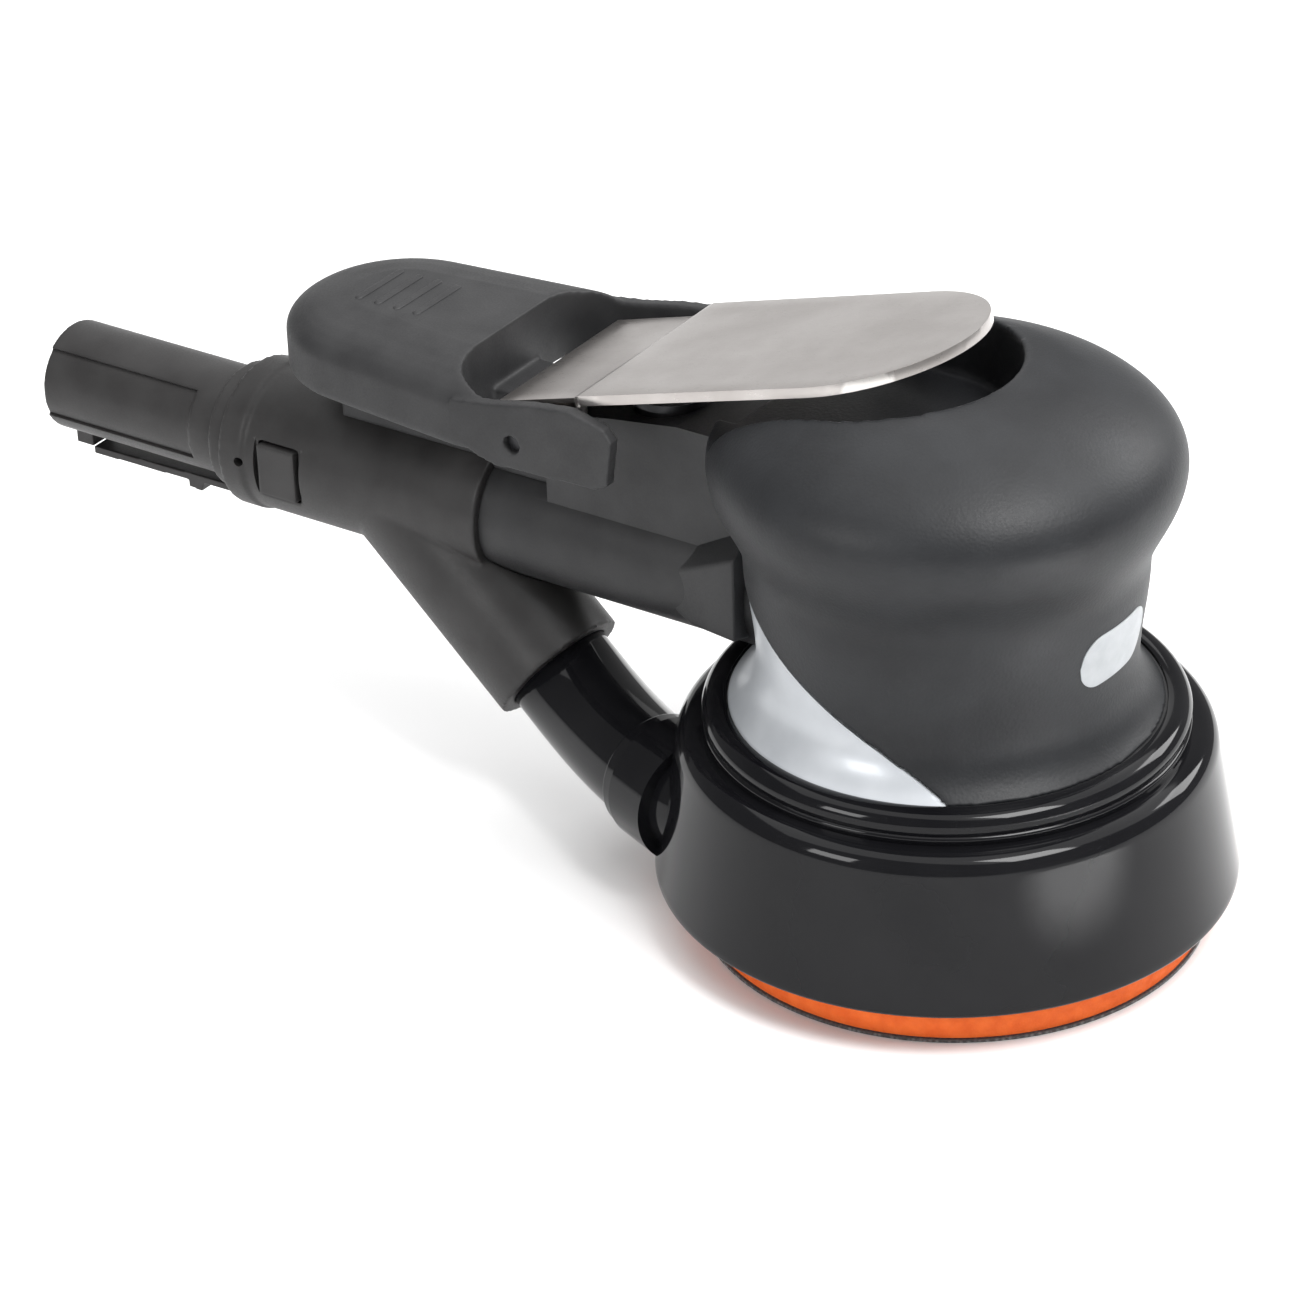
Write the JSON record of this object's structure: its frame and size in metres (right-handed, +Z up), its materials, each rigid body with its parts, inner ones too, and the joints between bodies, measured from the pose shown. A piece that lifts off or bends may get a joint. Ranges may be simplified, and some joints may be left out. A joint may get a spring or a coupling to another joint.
{
  "type": "orbital sander",
  "caption": "Air-driven random orbital sander with a round foam pad, skirted dust shroud, side dust tube, rear hose handle and hinged throttle lever.",
  "frame": {"origin": "on the motor's axis, in the plane of the pad's working face", "axes": "+Z up along the motor's axis, -X along the handle towards the hose, the dust tube is on the -Y side"},
  "size_m": [0.2417, 0.1014, 0.1105],
  "materials": {
    "hook_loop": "matte",
    "pad_foam": "matte",
    "pad_plate": "satin",
    "steel": "machined",
    "bearing_steel": "polished",
    "vane_resin": "matte",
    "cast_plate": "machined",
    "seal_rubber": "matte",
    "handle_composite": "satin",
    "grip_rubber": "fine grain",
    "silver_band": "satin",
    "gloss_black": "gloss",
    "adapter_plastic": "satin",
    "brass": "machined",
    "dark_anodised": "black anodised",
    "felt": "soft",
    "platform_plastic": "matte",
    "lever_metal": "satin"
  },
  "bodies": {
    "root": {"front_outer_race": "bearing_steel", "rear_outer_race": "bearing_steel", "front_plate": "cast_plate", "cylinder_sleeve": "steel", "cylinder_pin": "steel", "rear_plate": "cast_plate", "motor_gasket": "seal_rubber", "lock_ring": "cast_plate", "housing": "handle_composite", "comfort_grip": "grip_rubber", "barrel_band": "silver_band", "shroud": "gloss_black", "shroud_collar": "gloss_black", "dust_tube": "gloss_black", "dust_adapter": "adapter_plastic", "adapter_seal": "seal_rubber", "hose_fitting": "adapter_plastic", "fitting_seal": "seal_rubber", "inlet_bushing": "steel", "inlet_screen": "brass", "muffler_felts": "felt", "valve_seat": "brass", "valve_spring": "steel", "valve_bushing": "dark_anodised", "stem_seal": "seal_rubber", "wrist_platform": "platform_plastic", "lever_pin": "steel"},
    "lever": {"throttle_lever": "lever_metal"},
    "valve": {"valve_stem": "steel", "valve_poppet": "seal_rubber"},
    "regulator": {"speed_regulator": "adapter_plastic", "regulator_seal": "seal_rubber"},
    "rotor": {"balancer_shaft": "steel", "rotor": "steel", "rotor_vanes": "vane_resin", "rotor_key": "steel", "front_inner_race": "bearing_steel", "rear_inner_race": "bearing_steel", "front_balls": "bearing_steel", "rear_balls": "bearing_steel", "spindle_outer_race": "bearing_steel", "spindle_balls": "bearing_steel", "snap_ring": "steel"},
    "pad": {"hook_face": "hook_loop", "pad_foam": "pad_foam", "pad_plate": "pad_plate", "pad_stud": "steel", "spindle": "steel", "spindle_screw": "steel", "spindle_inner_race": "bearing_steel"},
    "latch": {"hose_latch": "adapter_plastic"}
  },
  "joints": [
    {"name": "lever_press", "type": "hinge", "parent": "root", "child": "lever", "pos_m": [-0.072, 0, 0.0804], "axis": [0, 1, 0], "range_deg": [0, 10], "stiffness_Nm_per_rad": 0.5, "springref_deg": -8.59},
    {"name": "valve_push", "type": "slide", "parent": "root", "child": "valve", "axis": [0, 0, -1], "range_m": [0, 0.0034], "deforming": ["valve_spring"]},
    {"name": "regulator_turn", "type": "hinge", "parent": "root", "child": "regulator", "pos_m": [-0.042, 0.01, 0.0675], "axis": [0, 1, 0], "range_deg": [0, 90]},
    {"name": "motor_spin", "type": "hinge", "parent": "root", "child": "rotor", "pos_m": [0, 0, 0.05], "axis": [0, 0, 1], "continuous": true},
    {"name": "pad_spin", "type": "hinge", "parent": "rotor", "child": "pad", "pos_m": [0.00125, 0, 0.02], "axis": [0, 0, 1], "continuous": true},
    {"name": "latch_flex", "type": "hinge", "parent": "root", "child": "latch", "pos_m": [-0.1858, 0, 0.0405], "axis": [0, -1, 0], "range_deg": [0, 3], "stiffness_Nm_per_rad": 0.3, "springref_deg": -5.73}
  ],
  "couplings": [
    {"joint": "valve_push", "follows": "lever_press", "m_per_rad": 0.01886}
  ]
}
